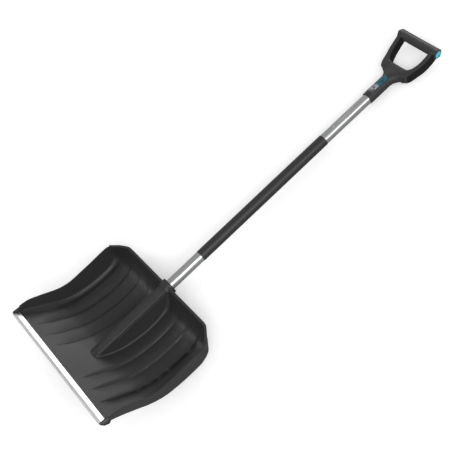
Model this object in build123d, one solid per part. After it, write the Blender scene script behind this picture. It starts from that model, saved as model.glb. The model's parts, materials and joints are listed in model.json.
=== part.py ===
from build123d import *
import math
import os

# A snow shovel: moulded scoop with an aluminium wear edge, a sleeved aluminium shaft
# and a D-grip.  Everything is drawn in the shaft frame (Y runs up the shaft to the grip,
# Z points out of the open side of the scoop, X runs across) and laid down at rest at the end.

# ---- driving dimensions, mm ----------------------------------------------------------
tube_radius = 16.0
tube_wall = 1.2
fit_gap = 0.05
shell = 3.0
socket_depth = 204.0
collar_reach = 3.0
sleeve_radius = 17.0
sleeve_start, sleeve_end = 121.0, 613.0
neck_radius = 18.5
neck_start, neck_end = 791.0, 898.0
tube_top = 880.0
grip_half_width = 77.0
bar_centre = (1013.8, 22.2)
edge_half_width = 239.5
edge_screw_count = 7
edge_screw_pitch = 74.0
edge_screw_reach = 6.5
flange = 1.5
tongue_top, tongue_bottom = -0.4, -2.6
tongue_back, tongue_front, slot_end = -8.0, 12.8, 13.2
collar_radius, collar_length = 24.5, 20.0
ridge_radius, ridge_foot, ridge_depth, ridge_nose = 19.5, 32.5, -70.0, 12.0
ridge_front, ridge_back, ridge_end_wall = -287.0, -6.0, 10.0
web_places, web_thickness = (-230, -175, -120, -65), 2.5
lip_width = 7.0
lug_gap, lug_thickness, lug_corner = 1.5, 8.5, 1.5
socket_plug_length, grip_plug_length = 50.0, 75.0
socket_screw_at, grip_screw_at = -180.0, 815.0
foot_centre, foot_radius = (911.0, -0.3), 16.2
bar_radius, bar_end_radius, bar_end_length = 14.5, 15.6, 16.0
cap_size, cap_depth, cap_proud, cap_edge = (26.5, 20.5), 8.0, 0.6, 0.5
cap_long_way = (0, 0.94, 0.342)
label_start, label_end, label_width, label_thickness = 806.0, 876.0, 29.4, 0.28
label_turn = -18.5

# ---- scoop outline: (distance along the shaft, height) and (distance, half width) ----
floor_line = [(-378, 95.4), (-350, 70.2), (-300, 25.2), (-280, 7.2), (-258, -12.6), (-225, -33), (-200, -43),
              (-150, -52.5), (-110, -54), (-80, -51), (-50, -39), (-28, -15), (-11, 14.5)]
rim_line = [(-378, 97), (-360, 94.5), (-340, 92.5), (-318, 86.5), (-288, 68), (-238, 35), (-205, 23.5),
            (-170, 21.5), (-110, 22), (-70, 23), (-51, 23.6), (-30, 19), (-11, 15)]
width_line = [(-378, 246), (-120, 246), (-66, 246), (-51, 243), (-39, 231.5), (-28, 218.5), (-11, 191.5)]
squareness_line = [(-378, 14), (-170, 13), (-110, 10), (-70, 7), (-11, 6)]
front_end, back_end = -371.5, -11.0
wall_turn = 3

# lip round the back of the scoop, right half, and front corner plate in the wear edge's own
# axes (distance towards the tip, distance out of the floor)
lip_half = [(194.5, -8, 16.9), (221.2, -25.4, 20.2), (245, -46.5, 23)]
lug_outline = [(-12, -4.5), (11, -6.5), (20, -2), (20, 4), (-1.5, 18.5), (-12, 18.5)]

# grip: (share of the way up an arm, radius there)
arm_stops = [(0, 18.2), (0.22, 15.2), (0.42, 13.9), (0.6, 13.5), (0.8, 13.6), (1, 13.9)]

on_base = (Align.CENTER, Align.CENTER, Align.MIN)


def along(line, y):
    """Height (or half width) at y on a smooth curve through the points of a line."""
    last = len(line) - 1
    slopes = []
    for i in range(last + 1):
        before, after = line[max(i - 1, 0)], line[min(i + 1, last)]
        slopes.append((after[1] - before[1]) / (after[0] - before[0]))
    i = 0
    while i < last - 1 and y > line[i + 1][0]:
        i += 1
    (y0, v0), (y1, v1) = line[i], line[i + 1]
    span = y1 - y0
    t = (y - y0) / span
    start = (1 + 2 * t) * (1 - t) ** 2 * v0 + t * (1 - t) ** 2 * span * slopes[i]
    return start + t * t * (3 - 2 * t) * v1 + t * t * (t - 1) * span * slopes[i + 1]


def scoop_point(across, y):
    """Point on the inner face; across runs from -1 at the left rim to 1 at the right rim."""
    low, high, half = along(floor_line, y), along(rim_line, y), along(width_line, y)
    flatness = along(squareness_line, y)
    flat_part = 0.78
    side = abs(across)
    if side < 0.5:
        x = flat_part * 2 * side
        z = high - (high - low) * (1 - x ** flatness) ** (1 / wall_turn)
    else:
        start = 1 - (1 - flat_part ** flatness) ** (1 / wall_turn)
        rise = start + (1 - start) * (2 * side - 1) ** 1.8
        x = (1 - (1 - rise) ** wall_turn) ** (1 / flatness)
        z = low + (high - low) * rise
    return Vector(math.copysign(half * x, across), y, z)


def scoop_section(y, columns=28):
    """Closed wire across the scoop at y: inner line, rim, outer line one shell thickness away, rim."""
    slope = along(floor_line, min(y + 0.5, back_end)) - along(floor_line, y - 0.5)
    inner, outer = [], []
    for i in range(columns + 1):
        across = 2 * i / columns - 1
        spot = scoop_point(across, y)
        run = scoop_point(min(across + 0.01, 1), y) - scoop_point(max(across - 0.01, -1), y)
        out = Vector(run.Z, 0, -run.X).normalized()
        inner.append(spot)
        outer.append(spot + out * shell * math.sqrt(1 + (slope * out.Z) ** 2))
    lower, upper = Spline(*inner), Spline(*reversed(outer))
    return Wire([lower, Line(lower @ 1, upper @ 0), upper, Line(upper @ 1, lower @ 0)])


def scoop_shell(stations=14):
    """Open tray lofted through evenly spaced sections from the front lip to the back wall."""
    spots = [front_end + (back_end - front_end) * j / stations for j in range(stations + 1)]
    return Solid.make_loft([scoop_section(y) for y in spots])


def floor_curve(start, stop, lift, count=16):
    """Spline in the Y-Z plane that keeps a fixed distance above the floor line."""
    points = []
    for i in range(count + 1):
        y = start + (stop - start) * i / count
        slope = along(floor_line, y + 0.5) - along(floor_line, y - 0.5)
        size = math.hypot(1, slope)
        points.append((y - lift * slope / size, along(floor_line, y) + lift / size))
    return Plane.YZ * Spline(*points)


def above_floor(half_width):
    """Everything above the middle of the floor's thickness."""
    bottom = floor_curve(-300, back_end, -shell / 2)
    low, high = bottom @ 0, bottom @ 1
    outline = [bottom, Polyline(high, (0, high.Y, 60), (0, low.Y, 60), low)]
    return extrude(make_face(outline), amount=half_width, both=True)


def ridge(inset, front, back):
    """Hump that covers the shaft: round on top, flanks leaning out, rounded nose."""
    radius, foot = ridge_radius - inset, ridge_foot - inset
    plane = Plane(origin=(0, back, 0), x_dir=(1, 0, 0), z_dir=(0, -1, 0))
    top = ThreePointArc((radius, 0), (0, radius), (-radius, 0))
    outline = [top, Polyline((-radius, 0), (-foot, ridge_depth), (foot, ridge_depth), (radius, 0))]
    body = extrude(plane * make_face(outline), amount=back - front)
    front_face = body.faces().sort_by(Axis.Y)[0]
    front_edges = [edge for edge in front_face.edges() if (edge @ 0.5).Z > ridge_depth + 1]
    return fillet(front_edges, ridge_nose - inset)


def rod(radius, start, stop):
    """Round bar on the shaft axis between two distances along it."""
    return Pos(0, start, 0) * Rot(-90, 0, 0) * Cylinder(radius, stop - start, align=on_base)


def screw(head_radius, shank_radius, head_depth, length):
    """Countersunk screw, head face at z = 0 and shank pointing up."""
    blank = Cone(head_radius, shank_radius, head_depth, align=on_base)
    blank += Cylinder(shank_radius, length, align=on_base)
    slot = Box(head_radius, head_radius * 0.28, head_depth * 0.8)
    return blank, blank - slot - Rot(0, 0, 90) * slot


def edge_plane():
    """Plane across the front panel: local X runs to the tip, local Y out of the floor."""
    y = -362.0
    slope = along(floor_line, y + 1) - along(floor_line, y)
    forward = Vector(0, -1, -slope).normalized()
    return Plane(origin=(0, y, along(floor_line, y)), x_dir=forward, z_dir=(-1, 0, 0))


def edge_profile():
    """Section of the wear edge: flat flange on top, blunt rounded nose, flange below, slot for the tongue."""
    top, bottom = flange, -shell - flange
    slot_top, slot_bottom = tongue_top + fit_gap, tongue_bottom - fit_gap
    nose = [(13.5, top), (21.5, -0.4), (21.5, -2.8), (19, bottom)]
    slot = [(0, slot_bottom), (slot_end, slot_bottom), (slot_end, slot_top), (0, slot_top)]
    return make_face(Polyline((0, top), *nose, (0, bottom), *slot, close=True))


def build_wear_edge():
    plane = edge_plane()
    bar = extrude(plane * edge_profile(), amount=edge_half_width, both=True)
    tip = [edge for edge in bar.edges().filter_by(Axis.X) if plane.to_local_coords(edge @ 0.5).X > 21.4]
    return fillet(tip, 1.1)


def edge_screw_place(index):
    x = (index - (edge_screw_count - 1) / 2) * edge_screw_pitch
    plane = edge_plane()
    origin = plane.from_local_coords(Vector(edge_screw_reach, -shell - flange, 0))
    return Location(Plane(origin=(x, origin.Y, origin.Z), x_dir=(1, 0, 0), z_dir=plane.y_dir))


def build_blade():
    """Scoop with the hump over the shaft, socket, collar, back lip, tongue and front corner plates."""
    blade = scoop_shell()
    blade += ridge(0, ridge_front, ridge_back) & above_floor(45)
    inner_front, inner_back = ridge_front + shell, ridge_back - ridge_end_wall
    blade -= ridge(shell, inner_front, inner_back)
    webs = Part() + [Pos(0, y, 0) * Box(80, web_thickness, 200) for y in web_places]
    blade += webs & ridge(shell - 0.5, inner_front + 1, inner_back) & above_floor(45)
    blade += rod(tube_radius + shell, -socket_depth - shell, 0)
    blade += rod(collar_radius, -collar_length, collar_reach)
    lip_path = Polyline(*[(-x, y, z) for x, y, z in reversed(lip_half)], *lip_half)
    lip_plane = Plane(origin=lip_path @ 0, x_dir=(0, 0, 1), z_dir=lip_path % 0)
    blade += sweep(lip_plane * Rectangle(shell, lip_width), path=lip_path, transition=Transition.RIGHT)
    plane = edge_plane()
    blade -= extrude(plane * Pos(20, 0) * Rectangle(40.3, 60), amount=300, both=True)
    tongue_centre = Pos((tongue_back + tongue_front) / 2, (tongue_top + tongue_bottom) / 2)
    tongue = tongue_centre * Rectangle(tongue_front - tongue_back, tongue_top - tongue_bottom)
    blade += extrude(plane * tongue, amount=edge_half_width - 3.5, both=True)
    plate = make_face(Polyline(*lug_outline, close=True))
    plate = fillet(plate.vertices(), lug_corner)
    lug = extrude(plane * plate, amount=lug_thickness / 2, both=True)
    for side in (-1, 1):
        blade += Pos(side * (edge_half_width + lug_gap + lug_thickness / 2), 0, 0) * lug
    return blade - rod(tube_radius + fit_gap, -socket_depth, collar_reach + 1)


def limb(stops):
    """Rounded bar through (point, radius) stops: a ball at each stop and a cone between them."""
    shape = Part()
    for (start, start_radius), (stop, stop_radius) in zip(stops, stops[1:]):
        cone = Cone(start_radius, stop_radius, (stop - start).length, align=on_base)
        shape += Plane(origin=start, z_dir=(stop - start)) * cone
    for point, radius in stops:
        shape += Pos(*point) * Sphere(radius)
    return shape


def build_grip():
    """D-grip: round bars that curve up to the top bar, on a round neck with a blind bore."""
    corner, top = Vector(41.4, 912, -0.3), Vector(64, *bar_centre)
    arm_line = Spline(corner, (59.8, 963.3, 5.5), top)
    arm = limb([(arm_line @ t, radius) for t, radius in arm_stops])
    web = limb([(Vector(0, 884, 0), neck_radius - 0.2), (Vector(27, 908, -0.2), 16.4)])
    foot = Pos(0, *foot_centre) * Rot(0, 90, 0) * Cylinder(foot_radius, 2 * corner.X)
    bar = Pos(0, *bar_centre) * Rot(0, 90, 0) * Cylinder(bar_radius, 2 * grip_half_width)
    flare = Cone(bar_radius, bar_end_radius, bar_end_length, align=on_base)
    for side in (-1, 1):
        start = Vector(side * (grip_half_width - bar_end_length), *bar_centre)
        bar += Plane(origin=start, z_dir=(side, 0, 0)) * flare
    grip = bar + arm + mirror(arm, about=Plane.YZ) + foot
    grip &= Pos(0, 950, 0) * Box(2 * grip_half_width, 400, 200)
    grip += web + mirror(web, about=Plane.YZ) + rod(neck_radius, neck_start, neck_end)
    return grip - rod(tube_radius + fit_gap, neck_start - 1, tube_top + 0.5)


def cap_solid(side):
    """Press-in end cap: oval face that stands a little proud, with a plug behind it."""
    centre = Vector(side * (grip_half_width + cap_proud - cap_depth), *bar_centre)
    plane = Plane(origin=centre, x_dir=cap_long_way, z_dir=(side, 0, 0))
    body = extrude(plane * SlotOverall(*cap_size), amount=cap_depth)
    outer_edges = body.edges().group_by(Axis.X)[-1 if side > 0 else 0]
    return body, fillet(outer_edges, cap_edge)


def rest_transform(blade, grip):
    """Turn about X and lift so that the scoop and the grip both touch the ground."""
    angle = 0.0
    for _ in range(4):
        scoop_box = (Rot(angle, 0, 0) * blade).bounding_box()
        grip_box = (Rot(angle, 0, 0) * grip).bounding_box()
        angle -= math.degrees(math.atan2(grip_box.min.Z - scoop_box.min.Z, 1000))
    length_low, length_high = scoop_box.min.Y, grip_box.max.Y
    return Pos(0, -(length_low + length_high) / 2, -scoop_box.min.Z) * Rot(angle, 0, 0), angle


blade = build_blade()
grip = build_grip()
wear_edge = build_wear_edge()
shaft_tube = rod(tube_radius, -socket_depth, tube_top)
shaft_tube -= rod(tube_radius - tube_wall, -socket_depth - 1, tube_top + 1)
shaft_sleeve = rod(sleeve_radius, sleeve_start, sleeve_end)
shaft_sleeve -= rod(tube_radius + fit_gap / 2, sleeve_start - 1, sleeve_end + 1)
plug_radius = tube_radius - tube_wall - fit_gap
socket_plug = rod(plug_radius, -socket_depth, -socket_depth + socket_plug_length)
grip_plug = rod(plug_radius, tube_top - grip_plug_length, tube_top)
nodes = {}

edge_blank, edge_screw = screw(3.6, 1.9, 1.7, 5.6)
for number in range(edge_screw_count):
    place = edge_screw_place(number)
    blade -= place * edge_blank
    wear_edge -= place * edge_blank
    nodes[f"edge_screw_{number + 1}"] = place * edge_screw

socket_place = Pos(0, socket_screw_at, -tube_radius - shell)
grip_place = Pos(0, grip_screw_at, -neck_radius + 0.2)
joint_blank, joint_screw = screw(4.2, 2.2, 2.2, 16)
for place in (socket_place, grip_place):
    shaft_tube -= place * joint_blank
blade -= socket_place * joint_blank
socket_plug -= socket_place * joint_blank
grip -= grip_place * (joint_blank + Pos(0, 0, -1) * Cylinder(4.2, 2))
grip_plug -= grip_place * joint_blank

nodes["blade"] = max(blade.solids(), key=lambda solid: solid.volume)
nodes["wear_edge"] = wear_edge
nodes["shaft_tube"] = shaft_tube
nodes["shaft_sleeve"] = shaft_sleeve
nodes["socket_plug"] = socket_plug
nodes["grip_plug"] = grip_plug
nodes["socket_screw"] = socket_place * joint_screw
nodes["grip_screw"] = grip_place * joint_screw
for name, side in (("end_cap_left", -1), ("end_cap_right", 1)):
    pocket, cap = cap_solid(side)
    grip -= pocket
    nodes[name] = cap
nodes["grip"] = grip
label_inside = neck_radius + 0.02
label_ring = rod(label_inside + label_thickness, label_start, label_end)
label_ring -= rod(label_inside, label_start - 1, label_end + 1)
label_cut = Pos(0, (label_start + label_end) / 2, 20) * Box(label_width, label_end - label_start + 2, 30)
nodes["neck_label"] = label_ring & Rot(0, label_turn, 0) * label_cut

to_rest, angle = rest_transform(blade, grip)
os.makedirs("parts", exist_ok=True)
for name, shape in nodes.items():
    shape = to_rest * shape
    export_step(shape, f"parts/{name}.step")
    box = shape.bounding_box()
    corners = [round(value, 1) for value in (*box.min, *box.max)]
    print(name, len(shape.solids()), shape.is_valid, corners, round(shape.volume))
print("rest angle", round(angle, 4))
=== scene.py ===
import json
import math

import bmesh
import bpy
import numpy as np
from mathutils import Matrix, Vector


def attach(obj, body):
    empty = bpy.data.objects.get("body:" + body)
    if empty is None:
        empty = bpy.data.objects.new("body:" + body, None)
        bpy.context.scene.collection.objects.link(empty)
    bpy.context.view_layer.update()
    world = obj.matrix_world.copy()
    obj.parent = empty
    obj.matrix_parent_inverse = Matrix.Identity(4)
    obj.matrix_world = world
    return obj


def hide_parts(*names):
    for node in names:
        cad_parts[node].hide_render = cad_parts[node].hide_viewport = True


# Looks of the snow shovel.  Shapes are drawn in the shaft frame, in millimetres (Y runs up the
# shaft to the grip, Z points out of the open side of the scoop), and then laid down at rest.

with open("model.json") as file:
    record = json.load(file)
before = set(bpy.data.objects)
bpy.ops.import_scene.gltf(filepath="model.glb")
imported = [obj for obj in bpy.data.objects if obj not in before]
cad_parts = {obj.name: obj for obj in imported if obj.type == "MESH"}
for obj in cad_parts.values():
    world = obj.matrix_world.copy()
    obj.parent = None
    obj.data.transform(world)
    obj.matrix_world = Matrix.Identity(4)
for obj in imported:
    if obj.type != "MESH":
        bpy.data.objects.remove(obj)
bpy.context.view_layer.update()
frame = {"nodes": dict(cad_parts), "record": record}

MM = 0.001
CLIP_DISTANCE = 367.0     # the shaft_clip mount sits this far up the shaft
SHARP_ANGLE = math.radians(35)

# ---- sizes, mm ------------------------------------------------------------------------
SHELL = 3.0
BORE_RADIUS = 16.05
SLEEVE_RADIUS = 17.0
SLEEVE_START, SLEEVE_END = 121.0, 613.0
SOCKET_DEPTH = 204.0
COLLAR_RADIUS, COLLAR_REACH = 24.5, 3.0
NECK_RADIUS, NECK_START, TUBE_TOP = 18.5, 791.0, 880.0
GRIP_HALF_WIDTH = 77.0
BAR_CENTRE = (1013.8, 22.2)
EDGE_HALF_WIDTH = 239.5
FRONT_END, BACK_END = -371.5, -11.0

# scoop outline: (distance along the shaft, height), (distance, half width), (distance, fillet)
FLOOR_LINE = [(-378, 95.4), (-350, 70.2), (-300, 25.2), (-280, 7.2), (-258, -12.6), (-225, -33),
              (-200, -43), (-150, -52.5), (-110, -54), (-80, -51), (-50, -39), (-28, -15), (-11, 14.5)]
RIM_LINE = [(-378, 97), (-360, 94.5), (-340, 92.5), (-318, 86.5), (-288, 68), (-238, 35), (-205, 23.5),
            (-170, 21.5), (-110, 22), (-70, 23), (-51, 23.6), (-30, 19), (-11, 15)]
WIDTH_LINE = [(-378, 246), (-120, 246), (-66, 246), (-51, 243), (-39, 231.5), (-28, 218.5), (-11, 191.5)]
FILLET_LINE = [(-378, 14), (-330, 24), (-290, 31), (-240, 37), (-190, 42), (-120, 46), (-60, 40), (-11, 24)]
WALL_LEAN = math.radians(9)
CREASE = math.radians(50)
CREASE_END, ROUND_START = -90.0, -30.0    # the crease holds up to the first and is gone at the second
# shares of the way from the centre line to the rim: end of the flat floor, end of the fillet
FLOOR_SHARE, FOOT_SHARE = 0.6, 0.85
FLOOR_EDGE, WALL_COLUMNS = 228.0, 34      # the floor's columns are spaced over the first

# ridge over the shaft
RIDGE_TOP, RIDGE_SHOULDER, RIDGE_HALF_WIDTH = 20.6, 13.6, 15.6
RIDGE_EDGE, RIDGE_ROUNDING = 0.6, 1.7
RIDGE_LEAN = math.radians(11.5)
NOSE_CENTRE = -271.0
RIDGE_FILLET, RIDGE_FILLET_BACK = 5.0, 10.0
RIDGE_FILLET_TURN, RIDGE_FILLET_RUN = -90.0, 60.0    # the fillet starts to grow here, over this length
RIDGE_REACH = 110.0                                  # no hump further than this from the centre line
WEB_PLACES, WEB_THICKNESS = (-230, -175, -120, -65), 2.5

# pressed lines in the floor: (distance from the centre line, depth, width of the slope down,
# share of the depth in the sharp drop beside the line)
FLOOR_STEPS = [(74.0, 4.8, 12.0, 0.3), (124.0, 5.2, 12.0, 0.35), (175.0, 8.4, 13.0, 0.7)]
DROP_WIDTH = 4.0
PANEL_EDGE, PANEL_FADE = 212.0, 20.0
STEP_TIP, STEP_FULL, STEP_FADE, STEP_END = -352.0, -306.0, -84.0, -24.0
RISE_START, RISE_FULL = -310.0, -190.0

# back lip of the scoop, right half, from the middle outwards
LIP_PATH = [(100, -7.6, 16.5), (184, -7.6, 16.9), (194.5, -9.4, 17.1), (203, -14.2, 18), (218, -23.6, 19.9),
            (225, -29.4, 20.7), (244.4, -46.2, 22.9)]
LIP_HALF_WIDTH = 3.5

# front corner plate: outline in the wear edge's axes (towards the tip, out of the floor)
LUG_OUTLINE = [(-12, -4.5), (11, -6.5), (20, -2), (20, 4), (-1.5, 18.5), (-12, 18.5)]
LUG_GAP, LUG_THICKNESS, LUG_CORNER = 1.5, 8.5, 1.5

# grip: (across, half thickness) of the bar and of the foot where the arms start, middle line of the
# right arm, and (distance along the shaft, widening) of the neck; the arms' half axes are larger by the
# gain at the foot, and it's gone after a share, the run, of their length
BAR_TURN = math.radians(58)
BAR_SIZES = [(-GRIP_HALF_WIDTH, 12.5), (-GRIP_HALF_WIDTH + 1.5, 13.1), (-62, 13.0), (-30, 12.8), (0, 12.7),
             (30, 12.8), (62, 13.0), (GRIP_HALF_WIDTH - 1.5, 13.1), (GRIP_HALF_WIDTH, 12.5)]
FOOT_PLACE, FOOT_DROP = 911, -0.3
ARM_PATH = [(35, FOOT_PLACE, FOOT_DROP), (45.5, 922, 0), (54.5, 943, 2), (60.4, 965, 6), (63, 990, 13),
            (63.6, *BAR_CENTRE)]
ARM_WIDTH, ARM_WIDTH_GAIN, ARM_WIDTH_RUN = 9.2, 8.2, 0.4
ARM_DEPTH, ARM_DEPTH_GAIN, ARM_DEPTH_RUN = 15.5, 1.6, 0.8
FOOT_SIZES = [(-41, 17.4), (-20, 17.0), (0, 16.8), (20, 17.0), (41, 17.4)]
NECK_FLARE = [(NECK_START, 0), (868, 0), (877, 2), (886, 8), (894, 16), (903, 26)]

# melting of the grip's bars: voxel size, rounds of smoothing, smoothing away from the joints,
# and where it's strongest: at the neck's joint with the arms and at the bar's inner corners
MELT_SIZE, MELT_ROUNDS, MELT_LEAST, MELT_START = 1.1, 14, 0.12, 800
JOINT_START, JOINT_END, JOINT_REACH, JOINT_SOFT = 868, 935, 44, 12
CORNER_PLACE, CORNER_RADIUS, CORNER_REACH = (52, 1000), 12, 66

# ribbed faces of the grip's arms, from this place on the shaft to that, and the seam round the bar; both
# also get painted shade
RIB_START, RIB_END, RIB_PITCH, RIB_REACH = 905.0, 1001.0, 3.0, 76.6
SEAM_ANGLES, SEAM_PLACES, SEAM_REACH = (1.58, 1.74), (990.0, 1040.0), 66.0

# print on the label and the tube: (from, to) up the shaft, and round the neck in mm or radians
LABEL_SPLIT, LABEL_SPLIT_SOFT = 837.0, 0.8
LABEL_BORDER, LABEL_BORDER_ARC = (808.0, 874.5), (-40.0, 9.0)
LABEL_ROW, LABEL_ROW_ARC = (842.0, 868.0), (-13.0, -10.5)
LABEL_CELLS = (0.14, 0.3, 1.0)
DASHES, DASH_PITCH, DOT, PRINT_ANGLES = (674.0, 722.0), 6.0, (655.0, 661.0), (0.0, 0.22)

# end cap: half axes of its oval, and how far along and out of the shaft its long axis points
CAP_LONG, CAP_SHORT = 13.25, 10.25
CAP_ALONG, CAP_OUT = 0.94, 0.342

# textures of the plastics: clouding and fine grain in cycles per metre, the grain's strength and
# its height in metres
CLOUD, GRAIN = 9.0, 1400.0
GRAIN_DEPTH, GRAIN_HEIGHT = 0.35, 0.00012


# ---- places ---------------------------------------------------------------------------
def shaft_matrix():
    """Shaft frame in mm to row frame in metres, from the shaft_clip mount."""
    clip = next(mount for mount in frame["record"]["mounts"] if mount["name"] == "shaft_clip")
    up_shaft = Vector(clip["axis"]).normalized()
    turn = Matrix.Rotation(math.atan2(up_shaft.z, up_shaft.y), 4, "X")
    origin = Vector(clip["pos_m"]) - up_shaft * CLIP_DISTANCE * MM
    return Matrix.Translation(origin) @ turn @ Matrix.Scale(MM, 4)


TO_ROW = shaft_matrix()


# ---- mesh helpers ---------------------------------------------------------------------
def new_piece(name, points, faces):
    mesh = bpy.data.meshes.new(name)
    mesh.from_pydata([tuple(p) for p in points], [], faces)
    shape = bmesh.new()
    shape.from_mesh(mesh)
    bmesh.ops.recalc_face_normals(shape, faces=shape.faces)
    shape.to_mesh(mesh)
    shape.free()
    piece = bpy.data.objects.new(name, mesh)
    bpy.context.scene.collection.objects.link(piece)
    return piece


def grid_faces(rows, columns, first=0, wrap=False):
    """Quads of a grid of points; wrap joins the last column to the first."""
    last = columns if wrap else columns - 1
    faces = []
    for j in range(rows - 1):
        for i in range(last):
            a = first + j * columns + i
            b = first + j * columns + (i + 1) % columns
            faces.append((a, b, b + columns, a + columns))
    return faces


def swept(name, rings):
    """Closed bar through rings of points, flat at both ends."""
    count = len(rings[0])
    faces = grid_faces(len(rings), count, wrap=True)
    faces.append(tuple(range(count)))
    faces.append(tuple(range((len(rings) - 1) * count, len(rings) * count)))
    return new_piece(name, np.concatenate(rings), faces)


def ring(centre, side, rise, power=2.0, count=48):
    """Superellipse ring about centre; side and rise are its half axes."""
    angle = np.arange(count) * 2 * math.pi / count
    c, s = np.cos(angle), np.sin(angle)
    a = np.sign(c) * np.abs(c) ** (2 / power)
    b = np.sign(s) * np.abs(s) ** (2 / power)
    return np.array(centre) + a[:, None] * np.array(side) + b[:, None] * np.array(rise)


def lathe(name, profile, count=96):
    """Body of revolution about the shaft axis from a closed (distance, radius) outline."""
    angle = np.arange(count) * 2 * math.pi / count
    points = [(r * math.cos(a), y, r * math.sin(a)) for y, r in profile for a in angle]
    faces = grid_faces(len(profile), count, wrap=True)
    last = (len(profile) - 1) * count
    for i in range(count):
        k = (i + 1) % count
        faces.append((last + i, last + k, k, i))
    return new_piece(name, points, faces)


def bore(start, end):
    """Tool that cuts the hole for the tube."""
    return lathe("bore", [(start, 0.5), (start, BORE_RADIUS), (end, BORE_RADIUS), (end, 0.5)])


def box(name, plane, low, high):
    """Box between two corners given in a plane's own axes."""
    points = []
    faces = [(0, 1, 3, 2), (4, 5, 7, 6), (0, 1, 5, 4), (2, 3, 7, 6), (0, 2, 6, 4), (1, 3, 7, 5)]
    for x in (low[0], high[0]):
        for y in (low[1], high[1]):
            for z in (low[2], high[2]):
                points.append(plane @ Vector((x, y, z)))
    return new_piece(name, points, faces)


def apply_modifiers(piece):
    view = bpy.context.evaluated_depsgraph_get()
    mesh = bpy.data.meshes.new_from_object(piece.evaluated_get(view))
    piece.modifiers.clear()
    old, piece.data = piece.data, mesh
    bpy.data.meshes.remove(old)


def combine(piece, tools, operation):
    """Boolean of piece with each tool; the tools are used up."""
    for tool in tools:
        step = piece.modifiers.new("combine", "BOOLEAN")
        step.operation = operation
        step.solver = "MANIFOLD"
        step.object = tool
        apply_modifiers(piece)
        bpy.data.objects.remove(tool)


def finish_piece(piece, material, nodes):
    """Lay the piece down at rest, shade it, and tie it to the frame."""
    piece.data.transform(TO_ROW)
    piece.data.materials.clear()
    piece.data.materials.append(material)
    for polygon in piece.data.polygons:
        polygon.use_smooth = True
    piece.data.set_sharp_from_angle(angle=SHARP_ANGLE)
    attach(piece, "root")
    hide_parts(*nodes)


# ---- scoop ----------------------------------------------------------------------------
def along(line, y):
    """Value at y on the smooth curve through the points of a line; y may be an array."""
    place = np.array([p[0] for p in line], float)
    value = np.array([p[1] for p in line], float)
    last = len(line) - 1
    before, after = np.maximum(np.arange(last + 1) - 1, 0), np.minimum(np.arange(last + 1) + 1, last)
    slope = (value[after] - value[before]) / (place[after] - place[before])
    i = np.clip(np.searchsorted(place, y, side="left") - 1, 0, last - 1)
    span = place[i + 1] - place[i]
    t = (y - place[i]) / span
    start = (1 + 2 * t) * (1 - t) ** 2 * value[i] + t * (1 - t) ** 2 * span * slope[i]
    return start + t * t * (3 - 2 * t) * value[i + 1] + t * t * (t - 1) * span * slope[i + 1]


def smooth(t):
    t = np.clip(t, 0, 1)
    return t * t * (3 - 2 * t)


def scoop_base(across, y):
    """Inner face without its lines and ridge: flat floor, fillet up to a crease, wall that leans out.

    across runs from -1 at the left rim to 1 at the right rim."""
    low, high, half = along(FLOOR_LINE, y), along(RIM_LINE, y), along(WIDTH_LINE, y)
    height = high - low
    full_turn = math.pi / 2 - WALL_LEAN
    turn = CREASE + (full_turn - CREASE) * smooth((y - CREASE_END) / (ROUND_START - CREASE_END))
    radius = np.minimum(along(FILLET_LINE, y), height * 0.9 / (1 - np.cos(turn)))
    foot_top = low + radius * (1 - np.cos(turn))
    centre_x = half - (high - foot_top) * math.tan(WALL_LEAN) - radius * np.sin(turn)
    side = np.abs(across)
    floor_x = centre_x * np.clip(side / FLOOR_SHARE, 0, 1)
    angle = turn * np.clip((side - FLOOR_SHARE) / (FOOT_SHARE - FLOOR_SHARE), 0, 1)
    foot_x = centre_x + radius * np.sin(angle)
    foot_z = low + radius * (1 - np.cos(angle))
    climb = np.clip((side - FOOT_SHARE) / (1 - FOOT_SHARE), 0, 1)
    x = np.where(side < FLOOR_SHARE, floor_x, foot_x + (half - foot_x) * climb)
    z = np.where(side < FLOOR_SHARE, low, foot_z + (high - foot_top) * climb)
    return np.sign(across) * x, z


def step_depth(x, y):
    """Depth of the pressed lines: a slope down to each line, then a convex panel back up.

    Towards the back the whole floor is raised by the depth of the deepest line, so that no line sinks
    below the plain floor there; in front the lines are pressed in."""
    grown = smooth((y - STEP_TIP) / (STEP_FULL - STEP_TIP))
    faded = smooth((y - STEP_FADE) / (STEP_END - STEP_FADE))
    size = grown * (1 - faded)
    distance = np.abs(x)
    depth = np.zeros_like(distance)
    for k, (line, deep, width, steep) in enumerate(FLOOR_STEPS):
        slope_width = 1.5 + (width - 1.5) * size
        panel_end = PANEL_EDGE
        if k + 1 < len(FLOOR_STEPS):
            panel_end = FLOOR_STEPS[k + 1][0] - FLOOR_STEPS[k + 1][2]
        down = np.clip((distance - line + slope_width) / slope_width, 0, 1)
        back = np.clip((distance - line) / (panel_end - line), 0, 1)
        drop = np.clip((distance - line + DROP_WIDTH) / DROP_WIDTH, 0, 1)
        part = np.where(distance < line, (1 - steep) * down ** 1.4 + steep * drop, (1 - back) ** 2.0)
        part = np.where((distance < line - slope_width) | (distance > panel_end), 0, part)
        depth += deep * size * part
    deepest = max(step[1] for step in FLOOR_STEPS)
    rise = size * smooth((y - RISE_START) / (RISE_FULL - RISE_START)) * deepest
    return depth - rise * (1 - smooth((distance - PANEL_EDGE) / PANEL_FADE))


def round_join(a, b, radius):
    """Distance to two shapes joined with a concave fillet."""
    inside = np.hypot(np.maximum(radius - a, 0), np.maximum(radius - b, 0))
    return np.maximum(radius, np.minimum(a, b)) - inside


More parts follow.
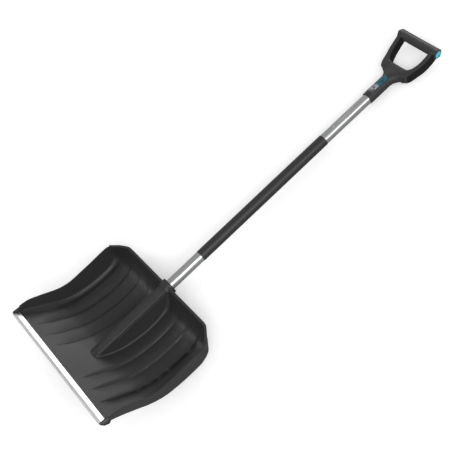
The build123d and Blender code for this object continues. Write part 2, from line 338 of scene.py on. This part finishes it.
def ridge_distance(x, y, z):
    """Distance outside the hump: low roof with an edge along the middle, leaning flanks, round nose."""
    d = np.hypot(x, np.minimum(y - NOSE_CENTRE, 0))
    flank = (d - RIDGE_HALF_WIDTH) * math.cos(RIDGE_LEAN) + (z - RIDGE_SHOULDER) * math.sin(RIDGE_LEAN)
    roof_slope = (RIDGE_TOP - RIDGE_SHOULDER) / RIDGE_HALF_WIDTH
    roof_top = RIDGE_TOP - roof_slope * (np.hypot(d, RIDGE_EDGE) - RIDGE_EDGE)
    roof = (z - roof_top) * math.cos(math.atan(roof_slope))
    return -round_join(-flank, -roof, RIDGE_ROUNDING)


def raised(x, y, floor, lean):
    """Height of floor and hump joined with a fillet, found by halving the step."""
    growth = smooth((y - RIDGE_FILLET_TURN) / RIDGE_FILLET_RUN)
    fillet = RIDGE_FILLET + (RIDGE_FILLET_BACK - RIDGE_FILLET) * growth
    low, high = floor - 1.0, np.maximum(floor, RIDGE_TOP) + 12.0
    for _ in range(28):
        z = (low + high) / 2
        joined = round_join(ridge_distance(x, y, z), (z - floor) * lean, fillet)
        low, high = np.where(joined < 0, z, low), np.where(joined < 0, high, z)
    return (low + high) / 2


def spread(stops):
    """Numbers from the first stop to the last, with the given step before each stop."""
    values = [stops[0][0]]
    for (start, _), (stop, step) in zip(stops, stops[1:]):
        count = max(1, round((stop - start) / step))
        values += [start + (stop - start) * (i + 1) / count for i in range(count)]
    return np.array(values)


def scoop_columns():
    """Column places from the centre line to the rim, closest where the shape turns sharply."""
    stops = [(0, 1), (13, 1.0), (18, 0.6), (37, 0.7), (61, 2)]
    for line, _, width, _ in FLOOR_STEPS:
        stops += [(line - width, 2.5), (line - DROP_WIDTH, 1.5), (line, 0.75)]
        stops += [(line + 2, 0.7), (line + 10, 1.6)]
    stops.append((FLOOR_EDGE, 2.5))
    floor_part = spread(stops) / FLOOR_EDGE * FLOOR_SHARE
    wall_part = np.linspace(FLOOR_SHARE, 1, WALL_COLUMNS)[1:]
    half = np.concatenate([floor_part, wall_part])
    return np.concatenate([-half[:0:-1], half])


def scoop_shell():
    """Closed shell of even thickness under the inner face."""
    rows = spread([(FRONT_END, 1), (-352, 3), (-296, 2.5), (-262, 1.3), (-60, 3.4), (-30, 2),
                   (BACK_END, 1.2)])
    across, y = np.meshgrid(scoop_columns(), rows)
    x, z = scoop_base(across, y)
    slope = along(FLOOR_LINE, y + 0.5) - along(FLOOR_LINE, y - 0.5)
    lean = 1 / np.hypot(1, slope)
    depth = step_depth(x, y)
    z = z - depth * lean
    y = y + depth * slope * lean
    middle = np.abs(x) < RIDGE_REACH
    z = np.where(middle, raised(x, y, z, lean), z)
    inner = np.stack([x, y, z], axis=-1)
    run, climb = np.gradient(inner, axis=1), np.gradient(inner, axis=0)
    normal = np.cross(run, climb)
    normal /= np.linalg.norm(normal, axis=-1, keepdims=True)
    outer = inner - normal * SHELL
    count_y, count_x = x.shape
    half = count_x * count_y
    points = np.concatenate([inner.reshape(-1, 3), outer.reshape(-1, 3)])
    faces = grid_faces(count_y, count_x) + grid_faces(count_y, count_x, first=half)
    border = [i for i in range(count_x)]
    border += [j * count_x + count_x - 1 for j in range(1, count_y)]
    border += [(count_y - 1) * count_x + i for i in range(count_x - 2, -1, -1)]
    border += [j * count_x for j in range(count_y - 2, 0, -1)]
    for a, b in zip(border, border[1:] + border[:1]):
        faces.append((a, b, b + half, a + half))
    return new_piece("blade_moulding", points, faces)


def edge_plane():
    """Axes at the front panel: X towards the tip, Y out of the floor, Z across."""
    y = -362.0
    slope = along(FLOOR_LINE, y + 1) - along(FLOOR_LINE, y)
    forward = Vector((0, -1, -slope)).normalized()
    out = Vector((-1, 0, 0)).cross(forward)
    axes = Matrix((forward, out, Vector((-1, 0, 0)))).transposed().to_4x4()
    return Matrix.Translation((0, y, float(along(FLOOR_LINE, y)))) @ axes


def smooth_path(points, steps=5):
    """Rounded path through points (Catmull-Rom)."""
    points = [np.array(p, float) for p in points]
    ends = [2 * points[0] - points[1]] + points + [2 * points[-1] - points[-2]]
    path = []
    for p0, p1, p2, p3 in zip(ends, ends[1:], ends[2:], ends[3:]):
        for t in np.arange(steps) / steps:
            path.append(0.5 * (2 * p1 + (p2 - p0) * t + (2 * p0 - 5 * p1 + 4 * p2 - p3) * t ** 2
                               + (3 * p1 - p0 - 3 * p2 + p3) * t ** 3))
    return path + [points[-1]]


def back_flange():
    """Flat lip round the back of the scoop, with rounded edges."""
    right = [np.array(p, float) for p in LIP_PATH]
    path = [p * (-1, 1, 1) for p in reversed(right)] + right
    rings = []
    for i, place in enumerate(path):
        travel = path[min(i + 1, len(path) - 1)] - path[max(i - 1, 0)]
        side = np.cross(travel / np.linalg.norm(travel), (0, 0, 1))
        side = side / np.linalg.norm(side) * LIP_HALF_WIDTH
        rings.append(ring(place, side, (0, 0, SHELL / 2), power=4.5, count=24))
    return swept("flange", rings)


def rounded(outline, radius, steps=5):
    """Closed outline with its corners rounded."""
    points = []
    for i, corner in enumerate(outline):
        corner = Vector(corner)
        start = corner + (Vector(outline[i - 1]) - corner).normalized() * radius
        stop = corner + (Vector(outline[(i + 1) % len(outline)]) - corner).normalized() * radius
        for k in range(steps + 1):
            t = k / steps
            points.append((1 - t) ** 2 * start + 2 * t * (1 - t) * corner + t * t * stop)
    return points


def corner_plate(plane, side):
    """Pointed plate at the end of the wear edge, with its outer edges softened."""
    outline = rounded(LUG_OUTLINE, LUG_CORNER)
    middle = Vector((4, 0))
    rings = []
    for share, size in ((0, 0.95), (0.1, 1), (0.45, 1), (0.9, 0.72), (1, 0.66)):
        across = side * (EDGE_HALF_WIDTH + LUG_GAP + LUG_THICKNESS * share)
        flat = [middle + (point - middle) * size for point in outline]
        rings.append(np.array([plane @ Vector((point.x, point.y, -across)) for point in flat]))
    return swept("corner_plate", rings)


def build_scoop():
    scoop = scoop_shell()
    plane = edge_plane()
    front = box("front", plane, (-0.15, -60, -300), (40, 40, 300))
    combine(scoop, [front], "DIFFERENCE")
    socket_end = -SOCKET_DEPTH - SHELL
    parts = [
        lathe("socket", [(socket_end, 12), (socket_end, 18), (socket_end + 1, 19), (-1, 19), (-1, 12)]),
        lathe("collar", [(-20, 12), (-20, 23.5), (-19, COLLAR_RADIUS), (COLLAR_REACH - 1.2, COLLAR_RADIUS),
                         (COLLAR_REACH, COLLAR_RADIUS - 1.2), (COLLAR_REACH, 12)]),
        back_flange(),
        box("tongue", plane, (-8, -2.6, -236), (12.8, -0.4, 236)),
    ]
    for y in WEB_PLACES:
        floor = float(along(FLOOR_LINE, y)) - SHELL / 2
        top = RIDGE_HALF_WIDTH - SHELL / 2
        wide = top + (RIDGE_SHOULDER - floor) * math.tan(RIDGE_LEAN)
        web = [(-wide, floor), (wide, floor), (top, RIDGE_SHOULDER - 2), (-top, RIDGE_SHOULDER - 2)]
        faces = (y - WEB_THICKNESS / 2, y + WEB_THICKNESS / 2)
        rings = [np.array([(x, face, z) for x, z in web]) for face in faces]
        parts.append(swept("web", rings))
    for side in (-1, 1):
        parts.append(corner_plate(plane, side))
    combine(scoop, parts, "UNION")
    combine(scoop, [bore(-SOCKET_DEPTH, COLLAR_REACH + 2)], "DIFFERENCE")
    return scoop


# ---- grip -----------------------------------------------------------------------------
def build_grip():
    """D-grip: superellipse bars melted together, with a round neck."""
    y_bar, z_bar = BAR_CENTRE
    tilt = math.atan2(z_bar + 0.3, y_bar - 912)
    lift = np.array((0, math.sin(-BAR_TURN), math.cos(BAR_TURN)))
    ahead = np.array((0, math.cos(BAR_TURN), math.sin(BAR_TURN)))
    bar = swept("bar", [ring((x, y_bar, z_bar), ahead * r, lift * r, 4.2) for x, r in BAR_SIZES])
    parts = []
    for side in (-1, 1):
        path = smooth_path(ARM_PATH)
        rings = []
        for i, place in enumerate(path):
            share = i / (len(path) - 1)
            travel = path[min(i + 1, len(path) - 1)] - path[max(i - 1, 0)]
            travel /= np.linalg.norm(travel)
            out = np.cross(travel, (0, -math.sin(tilt), math.cos(tilt)))
            out /= np.linalg.norm(out)
            up = np.cross(out, travel)
            width = ARM_WIDTH + ARM_WIDTH_GAIN * (1 - smooth(share / ARM_WIDTH_RUN))
            depth = ARM_DEPTH + ARM_DEPTH_GAIN * (1 - smooth(share / ARM_DEPTH_RUN))
            mirror = np.array((side, 1, 1))
            rings.append(ring(place * mirror, out * mirror * width, up * mirror * depth, 5.0, 64))
        parts.append(swept("arm", rings))
    rings = [ring((x, FOOT_PLACE, FOOT_DROP), (0, r, 0), (0, 0, r), 3.4) for x, r in FOOT_SIZES]
    parts.append(swept("foot", rings))
    rings = []
    for y, wide in NECK_FLARE:
        half_depth = NECK_RADIUS - 0.06 * wide
        rings.append(ring((0, y, 0), (NECK_RADIUS + wide, 0, 0), (0, 0, half_depth), 2 + 0.04 * wide))
    parts.append(swept("neck", rings))
    combine(bar, parts, "UNION")
    bar.name = bar.data.name = "grip_moulding"
    melt(bar)
    combine(bar, [bore(NECK_START - 5, TUBE_TOP + 0.5)], "DIFFERENCE")
    return bar


def melt(piece):
    """Even mesh over the joined bars, smoothed most where they meet."""
    step = piece.modifiers.new("even", "REMESH")
    step.mode = "VOXEL"
    step.voxel_size = MELT_SIZE
    apply_modifiers(piece)
    mesh = piece.data
    points = np.empty(len(mesh.vertices) * 3)
    mesh.vertices.foreach_get("co", points)
    points = points.reshape(-1, 3)
    edges = np.empty(len(mesh.edges) * 2, int)
    mesh.edges.foreach_get("vertices", edges)
    a, b = edges.reshape(-1, 2).T
    degree = np.bincount(a, minlength=len(points)) + np.bincount(b, minlength=len(points))
    y, x = points[:, 1], np.abs(points[:, 0])
    joint = smooth((y - JOINT_START) / JOINT_SOFT) * (1 - smooth((y - JOINT_END) / JOINT_SOFT))
    joint = joint * (1 - smooth((x - JOINT_REACH) / 10))
    away = np.hypot(x - CORNER_PLACE[0], y - CORNER_PLACE[1])
    corner = (1 - smooth((away - CORNER_RADIUS) / 10)) * (1 - smooth((x - CORNER_REACH) / 6))
    share = np.maximum(MELT_LEAST, np.maximum(joint, corner))[:, None]
    share[y < MELT_START] = 0
    for _ in range(MELT_ROUNDS):
        total = np.zeros_like(points)
        np.add.at(total, a, points[b])
        np.add.at(total, b, points[a])
        points += share * 0.9 * (total / degree[:, None] - points)
    mesh.vertices.foreach_set("co", points.ravel())
    mesh.update()


# ---- materials ------------------------------------------------------------------------
class Nodes:
    """Short way to build a node material."""

    def __init__(self, name, **constants):
        self.material = bpy.data.materials.new(name)
        self.material.use_nodes = True
        self.tree = self.material.node_tree
        self.shader = self.tree.nodes["Principled BSDF"]
        self.coords = self.add("ShaderNodeTexCoord")
        self.place = self.coords.outputs["Object"]
        for key, value in constants.items():
            self.shader.inputs[key.replace("_", " ")].default_value = value

    def add(self, kind, **inputs):
        node = self.tree.nodes.new(kind)
        for key, value in inputs.items():
            self.put(node.inputs[key.replace("_", " ")], value)
        return node

    def put(self, socket, value):
        if isinstance(value, bpy.types.NodeSocket):
            self.tree.links.new(value, socket)
        else:
            socket.default_value = value

    def shaft(self, axis):
        """Coordinate in the shaft frame, in mm: 0 across, 1 along, 2 out of the scoop."""
        row = TO_ROW.inverted()[axis]
        node = self.tree.nodes.new("ShaderNodeVectorMath")
        node.operation = "DOT_PRODUCT"
        self.put(node.inputs[0], self.place)
        self.put(node.inputs[1], row.xyz)
        return self.math("ADD", node.outputs["Value"], row.w)

    def band(self, value, low, high, soft):
        """1 between low and high, 0 outside, with soft edges."""
        rise = self.spread(value, low - soft, low + soft, 0.0, 1.0)
        fall = self.spread(value, high - soft, high + soft, 1.0, 0.0)
        return self.math("MULTIPLY", rise, fall)

    def noise(self, scale, detail=4.0, stretch=(1, 1, 1)):
        mapped = self.add("ShaderNodeMapping", Vector=self.place, Scale=stretch)
        node = self.add("ShaderNodeTexNoise", Vector=mapped.outputs[0], Scale=scale, Detail=detail)
        return node.outputs["Factor"] if "Factor" in node.outputs else node.outputs["Fac"]

    def math(self, operation, a, b=0.0, c=0.0):
        node = self.tree.nodes.new("ShaderNodeMath")
        node.operation = operation
        for socket, value in zip(node.inputs, (a, b, c)):
            self.put(socket, value)
        return node.outputs[0]

    def spread(self, value, low, high, out_low, out_high):
        node = self.add("ShaderNodeMapRange")
        for key, number in (("Value", value), ("From Min", low), ("From Max", high), ("To Min", out_low),
                            ("To Max", out_high)):
            self.put(node.inputs[key], number)
        return node.outputs[0]

    def weighted(self, a, share, b):
        """Share of a, and the rest of b."""
        return self.math("MULTIPLY_ADD", a, share, self.math("MULTIPLY", b, 1 - share))

    def product(self, first, *others):
        for other in others:
            first = self.math("MULTIPLY", first, other)
        return first

    def snapped(self, vector):
        """Vector rounded down to whole numbers."""
        node = self.tree.nodes.new("ShaderNodeVectorMath")
        node.operation = "FLOOR"
        self.put(node.inputs[0], vector)
        return node.outputs[0]

    def mix(self, share, a, b):
        node = self.tree.nodes.new("ShaderNodeMix")
        node.data_type = "RGBA"
        for socket, value in ((node.inputs[0], share), (node.inputs[6], a), (node.inputs[7], b)):
            self.put(socket, value)
        return node.outputs[2]

    def bump(self, height, strength, distance, normal=None):
        node = self.add("ShaderNodeBump", Height=height, Strength=strength, Distance=distance)
        if normal is not None:
            self.put(node.inputs["Normal"], normal)
        return node.outputs[0]

    def finish(self, **sockets):
        for key, value in sockets.items():
            self.put(self.shader.inputs[key.replace("_", " ")], value)
        return self.material


def moulded_plastic(name, dark, light, rough_low, rough_high, gloss=0.5):
    """Charcoal moulded plastic: fine grain, faint clouding of colour and gloss."""
    m = Nodes(name, Specular_IOR_Level=gloss)
    cloud = m.noise(CLOUD, 5.0)
    fine = m.noise(GRAIN, 3.0)
    speck = m.spread(fine, 0.35, 0.7, 0.0, 1.0)
    colour = m.mix(m.weighted(cloud, 0.7, speck), dark, light)
    rough = m.spread(m.weighted(cloud, 0.6, fine), 0.3, 0.7, rough_low, rough_high)
    return m.finish(Base_Color=colour, Roughness=rough, Normal=m.bump(fine, GRAIN_DEPTH, GRAIN_HEIGHT))


def drawn_aluminium(name, colour, rough, axis_stretch, scale=900.0):
    """Aluminium with fine lines along the way it was drawn."""
    m = Nodes(name, Metallic=1.0, Anisotropic=0.35)
    lines = m.noise(scale, 3.0, axis_stretch)
    cloud = m.noise(14.0, 4.0)
    shade = m.spread(m.weighted(lines, 0.6, cloud), 0.3, 0.7, 0.0, 1.0)
    tone = m.mix(shade, tuple(c * 0.86 for c in colour) + (1,), tuple(colour) + (1,))
    return m.finish(Base_Color=tone, Roughness=m.spread(lines, 0.3, 0.7, rough - 0.05, rough + 0.06),
                    Normal=m.bump(lines, 0.25, 0.00005))


def ribbed_plastic(name, dark, light, shadow, gloss):
    """Grip plastic: plain in front, fine crossed ribs on the side faces of the arms, which are painted
    darker towards the shadow colour as painted shade with their rib crests painted lighter, and a groove
    round the bar darkened with painted shade.
    """
    m = Nodes(name, Specular_IOR_Level=gloss)
    across, up_shaft, out = m.math("ABSOLUTE", m.shaft(0)), m.shaft(1), m.shaft(2)
    facing = m.add("ShaderNodeSeparateXYZ", Vector=m.coords.outputs["Normal"])
    sideways = m.spread(m.math("ABSOLUTE", facing.outputs[0]), 0.5, 0.68, 0.0, 1.0)
    on_arms = m.band(up_shaft, RIB_START, RIB_END, 2.0)
    # side faces of the arms: where the ribs are drawn and where painted shade darkens the colour
    side = m.product(sideways, m.band(across, 0.0, RIB_REACH, 0.2), on_arms)
    waves = []
    for place in (m.math("ADD", up_shaft, out), m.math("SUBTRACT", up_shaft, out)):
        waves.append(m.math("SINE", m.math("MULTIPLY", place, 2 * math.pi / RIB_PITCH / 1.4)))
    ribs = m.math("MULTIPLY", m.math("MAXIMUM", *waves), side)
    y_bar, z_bar = BAR_CENTRE
    seam_angle = m.math("ARCTAN2", m.math("SUBTRACT", out, z_bar), m.math("SUBTRACT", up_shaft, y_bar))
    seam_groove_and_shade = m.product(m.band(seam_angle, *SEAM_ANGLES, 0.03), m.band(up_shaft, *SEAM_PLACES, 1.0),
                     m.band(across, -1.0, SEAM_REACH, 2.0))
    cloud, fine = m.noise(CLOUD, 5.0), m.noise(GRAIN, 3.0)
    plain = m.mix(m.weighted(cloud, 0.7, fine), dark, light)
    # rib crests painted lighter, the troughs left in the painted shade
    lit_rib_crests = m.math("MULTIPLY", m.spread(ribs, -0.4, 0.9, 0.0, 1.0), 0.25)
    # side faces painted towards the shadow colour: painted shade
    face = m.mix(m.math("MULTIPLY", side, m.math("SUBTRACT", 1.0, lit_rib_crests)), plain, shadow)
    # the seam's groove is darkened towards the shadow colour: painted shade in the groove
    colour = m.mix(m.math("MULTIPLY", seam_groove_and_shade, 0.7), face, shadow)
    rough = m.spread(m.weighted(cloud, 0.6, fine), 0.3, 0.7, 0.42, 0.5)
    rough = m.math("MULTIPLY_ADD", side, 0.32, rough)
    grain = m.bump(fine, GRAIN_DEPTH, GRAIN_HEIGHT)
    relief = m.math("SUBTRACT", ribs, m.math("MULTIPLY", seam_groove_and_shade, 0.8))
    return m.finish(Base_Color=colour, Roughness=rough, Normal=m.bump(relief, 0.9, 0.0012, grain))


def printed_label():
    """Label of two panels with generic bars: teal above, pale grey below."""
    m = Nodes("label_paint", Specular_IOR_Level=0.4)
    up_shaft = m.shaft(1)
    angle = m.math("ARCTAN2", m.shaft(0), m.shaft(2))
    arc = m.math("MULTIPLY", angle, NECK_RADIUS)
    cells = m.add("ShaderNodeMapping", Scale=LABEL_CELLS)
    spot = m.add("ShaderNodeCombineXYZ", X=up_shaft, Y=arc)
    m.put(cells.inputs["Vector"], spot.outputs[0])
    blocks = m.add("ShaderNodeTexWhiteNoise", Vector=m.snapped(cells.outputs[0]))
    marks = m.spread(blocks.outputs["Value"], 0.5, 0.56, 0.0, 1.0)
    teal = m.mix(marks, (0.012, 0.12, 0.17, 1), (0.004, 0.055, 0.085, 1))
    rows = m.product(m.band(arc, *LABEL_ROW_ARC, 0.3), m.band(up_shaft, *LABEL_ROW, 0.4))
    teal = m.mix(rows, teal, (0.06, 0.3, 0.38, 1))
    pale = m.mix(marks, (0.3, 0.3, 0.31, 1), (0.09, 0.075, 0.08, 1))
    panel = m.spread(up_shaft, LABEL_SPLIT - LABEL_SPLIT_SOFT, LABEL_SPLIT + LABEL_SPLIT_SOFT, 0.0, 1.0)
    ink = m.mix(panel, pale, teal)
    border = m.product(m.band(up_shaft, *LABEL_BORDER, 0.3), m.band(arc, *LABEL_BORDER_ARC, 0.3))
    ink = m.mix(border, (0.02, 0.06, 0.075, 1), ink)
    worn = m.noise(700.0, 3.0)
    return m.finish(Base_Color=ink, Roughness=m.spread(worn, 0.3, 0.7, 0.38, 0.46),
                    Normal=m.bump(worn, 0.2, 0.00006))


def two_tone_cap():
    """End cap: bright oval in the middle, dark teal rim."""
    m = Nodes("cap_plastic", Specular_IOR_Level=0.5)
    y_bar, z_bar = BAR_CENTRE
    ahead, out = m.math("SUBTRACT", m.shaft(1), y_bar), m.math("SUBTRACT", m.shaft(2), z_bar)
    out_share = m.math("MULTIPLY", out, CAP_OUT / CAP_LONG)
    ahead_share = m.math("MULTIPLY", ahead, -CAP_OUT / CAP_SHORT)
    long_way = m.math("MULTIPLY_ADD", ahead, CAP_ALONG / CAP_LONG, out_share)
    short_way = m.math("MULTIPLY_ADD", out, CAP_ALONG / CAP_SHORT, ahead_share)
    reach = m.math("SQRT", m.math("ADD", m.math("MULTIPLY", long_way, long_way),
                                  m.math("MULTIPLY", short_way, short_way)))
    cloud = m.noise(60.0, 4.0)
    bright = m.mix(cloud, (0.03, 0.5, 0.6, 1), (0.05, 0.6, 0.7, 1))
    colour = m.mix(m.spread(reach, 0.76, 0.85, 0.0, 1.0), bright, (0.002, 0.03, 0.045, 1))
    return m.finish(Base_Color=colour, Roughness=m.spread(cloud, 0.3, 0.7, 0.25, 0.32),
                    Normal=m.bump(m.noise(900.0, 3.0), 0.2, 0.00008))


def marked_tube():
    """Drawn aluminium with a dot and a row of short pale dashes printed on the upper part."""
    m = Nodes("tube_metal", Metallic=1.0, Anisotropic=0.35)
    up_shaft, angle = m.shaft(1), m.math("ARCTAN2", m.shaft(0), m.shaft(2))
    lines, cloud = m.noise(900.0, 3.0, (1, 0.01, 1)), m.noise(14.0, 4.0)
    shade = m.spread(m.weighted(lines, 0.6, cloud), 0.3, 0.7, 0.0, 1.0)
    tone = m.mix(shade, (0.45, 0.455, 0.46, 1), (0.54, 0.545, 0.55, 1))
    wave = m.math("SINE", m.math("MULTIPLY", up_shaft, 2 * math.pi / DASH_PITCH))
    dash = m.spread(wave, 0.0, 0.4, 0.0, 1.0)
    dashes = m.math("MULTIPLY", dash, m.band(up_shaft, *DASHES, 0.3))
    dot = m.band(up_shaft, *DOT, 0.4)
    print_band = m.math("MULTIPLY", m.math("MAXIMUM", dashes, dot), m.band(angle, *PRINT_ANGLES, 0.02))
    tone = m.mix(print_band, tone, (0.95, 0.95, 0.95, 1))
    return m.finish(Base_Color=tone, Roughness=m.spread(lines, 0.3, 0.7, 0.25, 0.36),
                    Normal=m.bump(lines, 0.25, 0.00005))


def paint_node(name, material):
    node = frame["nodes"][name]
    node.data.materials.clear()
    node.data.materials.append(material)


# ---- build ----------------------------------------------------------------------------
blade_plastic = moulded_plastic("blade_plastic", (0.02, 0.02, 0.0205, 1), (0.028, 0.028, 0.0285, 1),
                                0.38, 0.5, gloss=0.36)
sleeve_plastic = moulded_plastic("sleeve_plastic", (0.014, 0.014, 0.0145, 1), (0.02, 0.02, 0.021, 1),
                                 0.42, 0.52)
# the third colour is painted shade: the arms' side faces and the seam are darkened towards it
grip_plastic = ribbed_plastic("grip_plastic", (0.027, 0.027, 0.028, 1), (0.036, 0.036, 0.037, 1),
                              (0.002, 0.002, 0.002, 1), 0.3)
tube_metal = marked_tube()
edge_metal = drawn_aluminium("edge_metal", (0.8, 0.8, 0.81), 0.36, (0.01, 1, 1))
screw_metal = drawn_aluminium("screw_metal", (0.6, 0.6, 0.62), 0.3, (1, 1, 1), 400.0)
cap_plastic = two_tone_cap()
label_paint = printed_label()
plug_plastic = moulded_plastic("plug_plastic", (0.01, 0.01, 0.01, 1), (0.02, 0.02, 0.02, 1), 0.4, 0.5)

finish_piece(build_scoop(), blade_plastic, ["blade"])
finish_piece(build_grip(), grip_plastic, ["grip"])

sleeve = lathe("sleeve_cover", [(SLEEVE_START, BORE_RADIUS), (SLEEVE_START, SLEEVE_RADIUS - 0.4),
                                (SLEEVE_START + 0.5, SLEEVE_RADIUS), (SLEEVE_END - 0.5, SLEEVE_RADIUS),
                                (SLEEVE_END, SLEEVE_RADIUS - 0.4), (SLEEVE_END, BORE_RADIUS)])
finish_piece(sleeve, sleeve_plastic, ["shaft_sleeve"])

paint_node("wear_edge", edge_metal)
paint_node("shaft_tube", tube_metal)
paint_node("neck_label", label_paint)
for name in ("end_cap_left", "end_cap_right"):
    paint_node(name, cap_plastic)
for name in ("socket_plug", "grip_plug"):
    paint_node(name, plug_plastic)
for name in [n for n in frame["nodes"] if "screw" in n]:
    paint_node(name, screw_metal)


# ---- floor, light, camera -------------------------------------------------------------
SKY_STRENGTH = 0.5
FLOOR_HALF, FLOOR_DROP = 12.0, 0.0005
# the floor and the sky look whiter to the camera than they light and reflect in the object
FLOOR_GREY, FLOOR_PALE, FLOOR_PALEST, FLOOR_GLOW = 0.45, 0.86, 0.88, 0.3
# camera in the shaft frame: place in mm, the way it looks, and the way its right side points
CAMERA_PLACE = (1640, -80, 2116)
CAMERA_AHEAD, CAMERA_RIGHT = (-0.611, 0.116, -0.783), (0.593, 0.722, -0.356)
CAMERA_LENS = 74.93
# soft panels: name, direction, distance and size in metres, power in watts
PANELS = [
    ("front_panel", (0.75, -0.2, 0.62), 4.5, (3.0, 3.0), 110.0),
    ("side_panel", (0.80, 0.377, 0.47), 4.25, (1.5, 1.5), 27.0),
    ("back_panel", (-0.6, 0.78, 0.16), 4.5, (3.5, 1.6), 61.0),
    ("left_panel", (-0.6, -0.62, 0.5), 4.0, (1.2, 2.4), 25.0),
]


def grey(tone):
    return (tone, tone, tone, 1)


def studio():
    m = Nodes("floor_paint", Roughness=0.9)
    seen = m.add("ShaderNodeLightPath").outputs["Is Camera Ray"]
    pale = m.mix(m.noise(6.0), grey(FLOOR_PALE), grey(FLOOR_PALEST))
    tone = m.mix(seen, grey(FLOOR_GREY), pale)
    glow = m.math("MULTIPLY", seen, FLOOR_GLOW)
    m.finish(Base_Color=tone, Emission_Color=grey(1), Emission_Strength=glow)
    turns = ((-1, -1), (1, -1), (1, 1), (-1, 1))
    corners = [(x * FLOOR_HALF, y * FLOOR_HALF, -FLOOR_DROP) for x, y in turns]
    floor = new_piece("floor", corners, [(0, 1, 2, 3)])
    floor.data.materials.append(m.material)

    sky = bpy.data.worlds.new("studio")
    sky.use_nodes = True
    tree = sky.node_tree
    back = tree.nodes["Background"]
    path = tree.nodes.new("ShaderNodeLightPath")
    glow = tree.nodes.new("ShaderNodeMapRange")
    glow.inputs["To Min"].default_value = SKY_STRENGTH
    tree.links.new(path.outputs["Is Camera Ray"], glow.inputs["Value"])
    tree.links.new(glow.outputs[0], back.inputs["Strength"])
    back.inputs["Color"].default_value = (1, 1, 1, 1)
    bpy.context.scene.world = sky

    for name, direction, distance, size, power in PANELS:
        lamp = bpy.data.lights.new(name, "AREA")
        lamp.shape = "RECTANGLE"
        lamp.size, lamp.size_y = size
        lamp.energy = power
        holder = bpy.data.objects.new(name, lamp)
        place = Vector(direction).normalized() * distance
        holder.location = place
        holder.rotation_mode = "QUATERNION"
        holder.rotation_quaternion = (-place).to_track_quat("-Z", "Y")
        holder.visible_camera = False
        bpy.context.scene.collection.objects.link(holder)


def camera():
    """Camera at the photograph's angle, given in the shaft frame."""
    place = Vector(CAMERA_PLACE)
    ahead = Vector(CAMERA_AHEAD).normalized()
    right = Vector(CAMERA_RIGHT)
    right = (right - ahead * right.dot(ahead)).normalized()
    up = right.cross(ahead)
    turn = TO_ROW.to_3x3().normalized() @ Matrix((right, up, -ahead)).transposed()
    data = bpy.data.cameras.new("camera")
    data.sensor_width = 36.0
    data.lens = CAMERA_LENS
    data.clip_start, data.clip_end = 0.05, 60.0
    holder = bpy.data.objects.new("camera", data)
    holder.matrix_world = Matrix.Translation(TO_ROW @ place) @ turn.to_4x4()
    bpy.context.scene.collection.objects.link(holder)
    bpy.context.scene.camera = holder


studio()
camera()
bpy.context.scene.view_settings.view_transform = "Standard"

bpy.context.view_layer.update()
